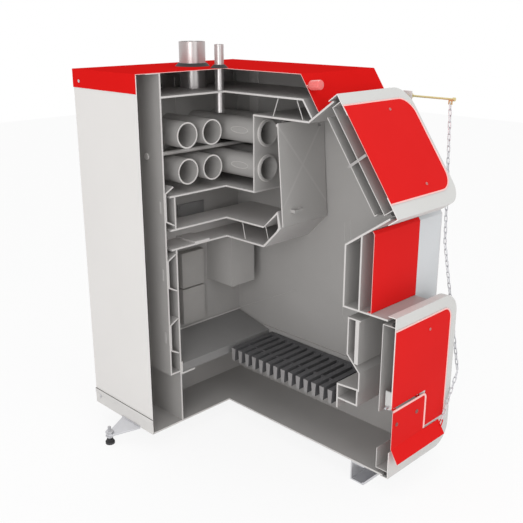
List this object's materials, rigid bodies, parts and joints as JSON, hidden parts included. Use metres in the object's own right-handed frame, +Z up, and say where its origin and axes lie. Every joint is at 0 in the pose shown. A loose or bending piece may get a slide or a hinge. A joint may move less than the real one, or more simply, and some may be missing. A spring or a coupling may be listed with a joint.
{
  "type": "solid fuel boiler",
  "caption": "Display section of a floor-standing solid fuel boiler: sloping fill door, ash door with chain-lifted air flap, fire tubes, water jacket, grate and casing.",
  "frame": {"origin": "on the ground, at the middle of the boiler's outer box", "axes": "+Z up, -Y towards the doors, +X to the boiler's right as the section is seen from the front"},
  "size_m": [0.758, 1.017, 1.157],
  "materials": {
    "casing_white": "powder coated, satin",
    "panel_red": "powder coated, satin",
    "trim_grey": "powder coated, satin",
    "boiler_plate": "primed boiler plate, matt",
    "tube_steel": "primed tube, matt",
    "grate_iron": "as cast",
    "firebrick": "fired, matt",
    "pipe_steel": "turned",
    "seal_black": "moulded",
    "zinc": "zinc plated",
    "foot_black": "moulded",
    "lever_brass": "drawn"
  },
  "bodies": {
    "casing": {"left_side_panel": "casing_white", "right_side_panel": "casing_white", "front_surround": "casing_white", "rear_panel": "casing_white", "top_cover": "panel_red", "mid_front_panel": "panel_red", "base_sheet": "boiler_plate", "base_rails": "casing_white", "front_foot": "zinc", "left_foot_bracket": "zinc", "right_foot_bracket": "zinc", "outer_shell": "boiler_plate", "front_closure": "boiler_plate", "vessel_top": "boiler_plate", "cover_rails": "boiler_plate", "inner_shell": "boiler_plate", "tube_floor": "boiler_plate", "front_tube_plate": "boiler_plate", "chamber_roof": "boiler_plate", "fill_neck_top": "boiler_plate", "front_box_inner": "boiler_plate", "front_box_outer": "boiler_plate", "water_shelf": "boiler_plate", "fire_tubes": "tube_steel", "tie_rod": "tube_steel", "jacket_channels": "boiler_plate", "rear_ledge": "boiler_plate", "rear_bricks": "firebrick", "riser_duct": "boiler_plate", "grate_ledges": "boiler_plate", "grate": "grate_iron", "grate_beam": "boiler_plate", "ash_guard": "boiler_plate", "guard_bar": "boiler_plate", "tube_flap_hinge": "boiler_plate", "flow_pipe": "pipe_steel", "sensor_pocket": "pipe_steel", "pipe_seals": "seal_black", "flue_spigot": "boiler_plate", "return_pipe": "pipe_steel", "door_hinges": "zinc", "regulator_body": "zinc"},
    "fill_door": {"fill_door_frame": "trim_grey", "fill_door_panel": "panel_red", "fill_door_pan": "boiler_plate", "fill_door_shield": "boiler_plate", "fill_door_bolt": "pipe_steel", "door_screws": "zinc"},
    "ash_door": {"ash_door_frame": "trim_grey", "ash_door_panel": "panel_red", "ash_door_pan": "boiler_plate", "flap_brackets": "trim_grey"},
    "air_flap": {"air_flap": "panel_red", "lower_chain": "zinc"},
    "tube_flap": {"tube_flap": "boiler_plate"},
    "regulator_lever": {"regulator_lever": "lever_brass"},
    "regulator_knob": {"regulator_knob": "panel_red"},
    "upper_chain": {"upper_chain": "zinc"},
    "left_foot": {"left_levelling_foot": "foot_black"},
    "right_foot": {"right_levelling_foot": "foot_black"}
  },
  "joints": [
    {"name": "fill_door_hinge", "type": "hinge", "parent": "casing", "child": "fill_door", "pos_m": [0.292, -0.26021, 1.04077], "axis": [0, 0.5779, 0.8161], "range_deg": [0, 80]},
    {"name": "ash_door_hinge", "type": "hinge", "parent": "casing", "child": "ash_door", "pos_m": [0.29, -0.4685, 0.264], "axis": [0, 0, 1], "range_deg": [0, 95]},
    {"name": "air_flap_hinge", "type": "hinge", "parent": "ash_door", "child": "air_flap", "pos_m": [0, -0.462, 0.26], "axis": [-1, 0, 0], "range_deg": [0, 17]},
    {"name": "regulator_lever_hinge", "type": "hinge", "parent": "casing", "child": "regulator_lever", "pos_m": [0.315, -0.2675, 1.02], "axis": [-1, 0, 0], "range_deg": [0, 8.3]},
    {"name": "upper_chain_slide", "type": "slide", "parent": "casing", "child": "upper_chain", "axis": [0, 0, 1], "range_m": [0, 0.0186]},
    {"name": "tube_flap_turn", "type": "hinge", "parent": "casing", "child": "tube_flap", "pos_m": [0, -0.0665, 0.95], "axis": [-1, 0, 0], "range_deg": [0, 60]},
    {"name": "regulator_knob_turn", "type": "hinge", "parent": "casing", "child": "regulator_knob", "pos_m": [0.008, -0.16872, 1.06075], "axis": [0, -0.9962, 0.0872], "range_deg": [-135, 135]},
    {"name": "left_foot_turn", "type": "hinge", "parent": "casing", "child": "left_foot", "pos_m": [-0.365, 0.2725, 0.034], "axis": [0, 0, 1], "continuous": true},
    {"name": "right_foot_turn", "type": "hinge", "parent": "casing", "child": "right_foot", "pos_m": [0.365, 0.2725, 0.034], "axis": [0, 0, 1], "continuous": true}
  ],
  "couplings": [
    {"joint": "regulator_lever_hinge", "follows": "air_flap_hinge", "ratio": 0.48},
    {"joint": "upper_chain_slide", "follows": "air_flap_hinge", "m_per_rad": 0.0617}
  ]
}
